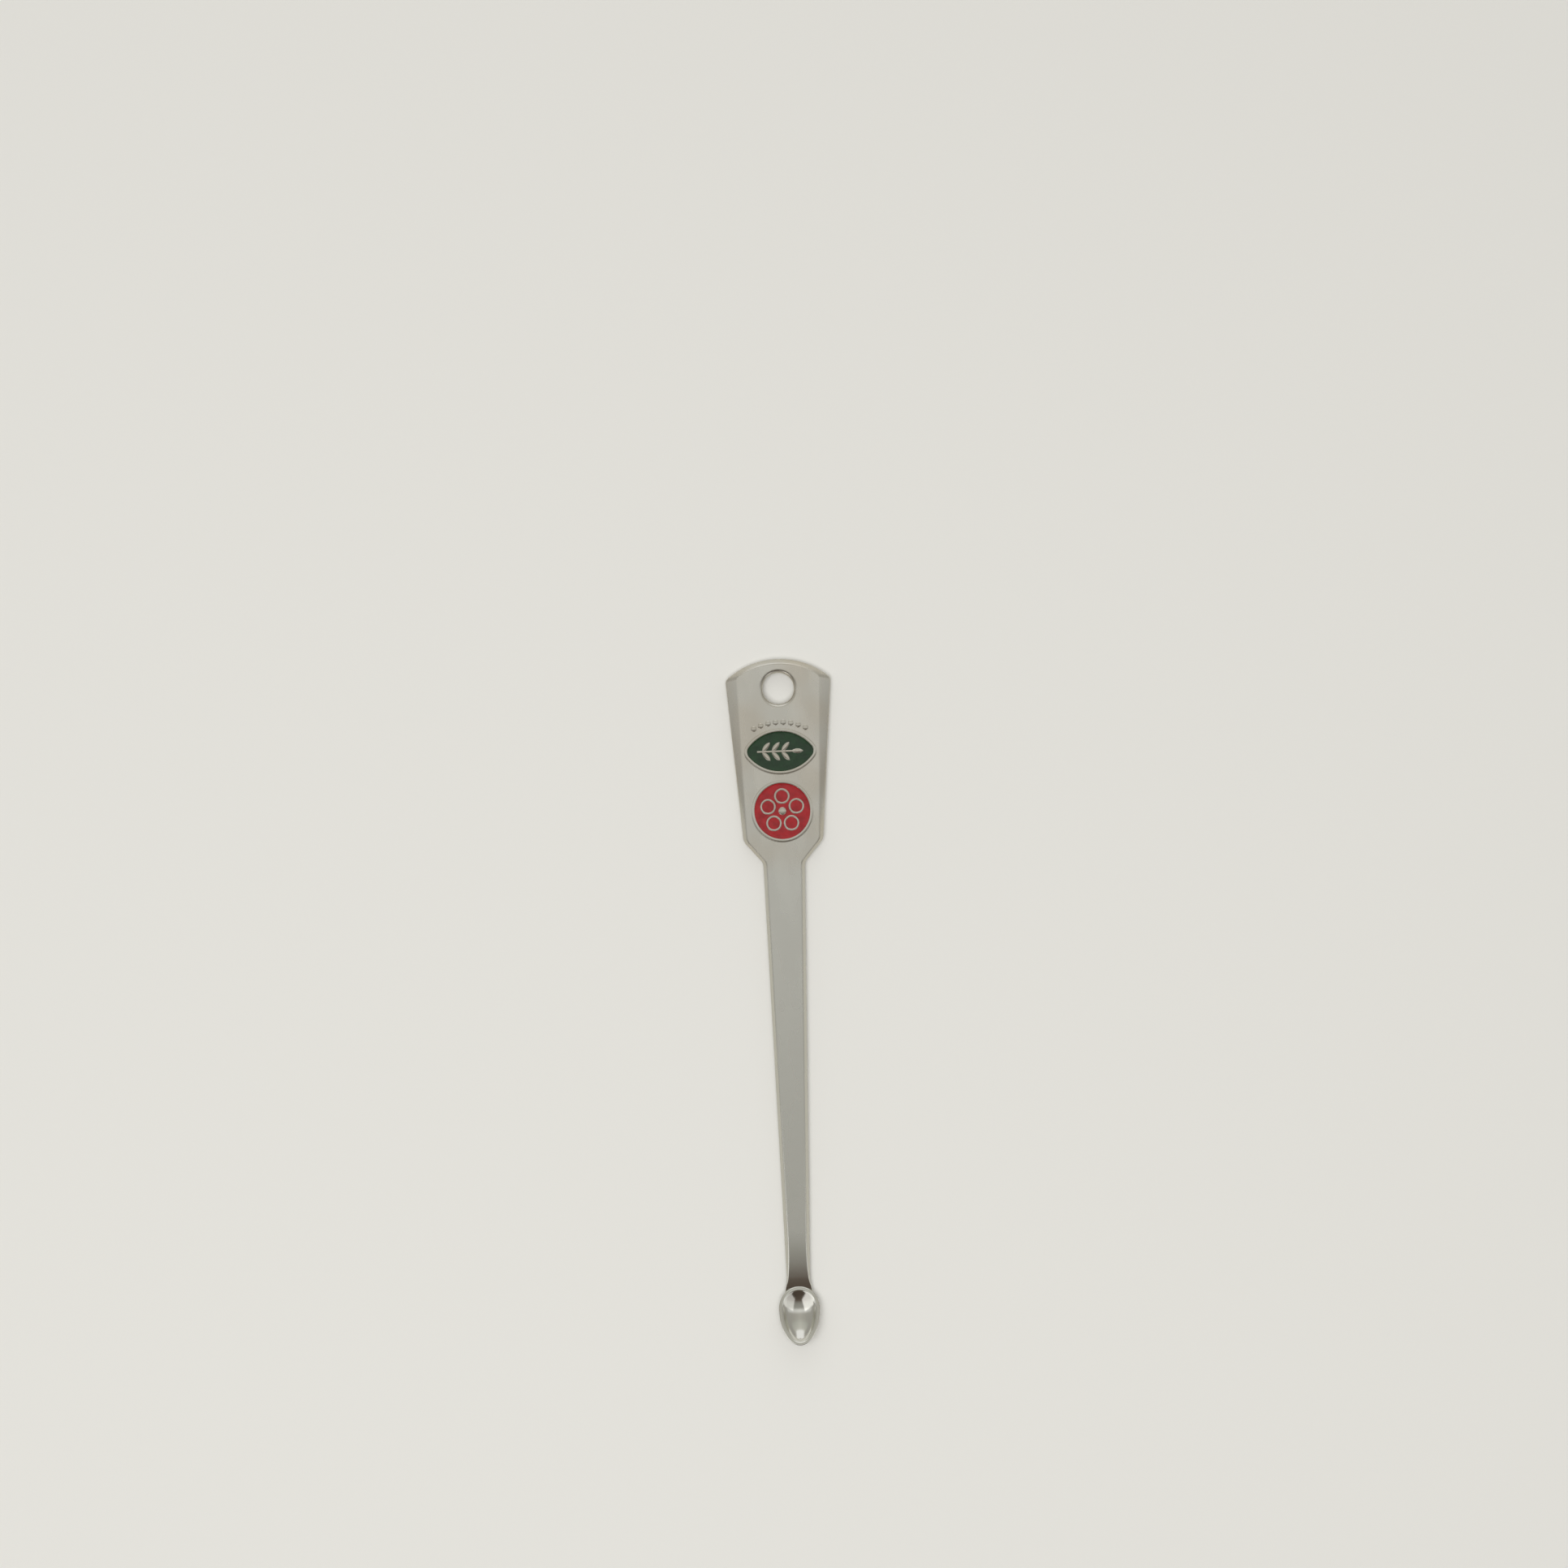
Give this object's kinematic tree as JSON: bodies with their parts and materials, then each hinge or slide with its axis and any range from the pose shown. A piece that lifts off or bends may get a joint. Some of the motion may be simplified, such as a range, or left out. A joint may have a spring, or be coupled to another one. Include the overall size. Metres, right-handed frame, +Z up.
{
  "type": "ear pick",
  "caption": "Flat silver-coloured metal ear pick with an arched, pierced tab, green and red enamel cells and a small scoop.",
  "frame": {"origin": "centre of the underside of the whole pick's box, on the surface that the pick lies on", "axes": "+Y runs along the stem towards the tab and its hole, +Z is up out of the enamelled front, +X is across the tab"},
  "size_m": [0.013, 0.0849, 0.0028],
  "materials": {
    "silver_metal": "satin",
    "green_enamel": "gloss",
    "red_enamel": "gloss"
  },
  "bodies": {
    "root": {"pick_body": "silver_metal", "green_enamel": "green_enamel", "red_enamel": "red_enamel"}
  },
  "joints": []
}
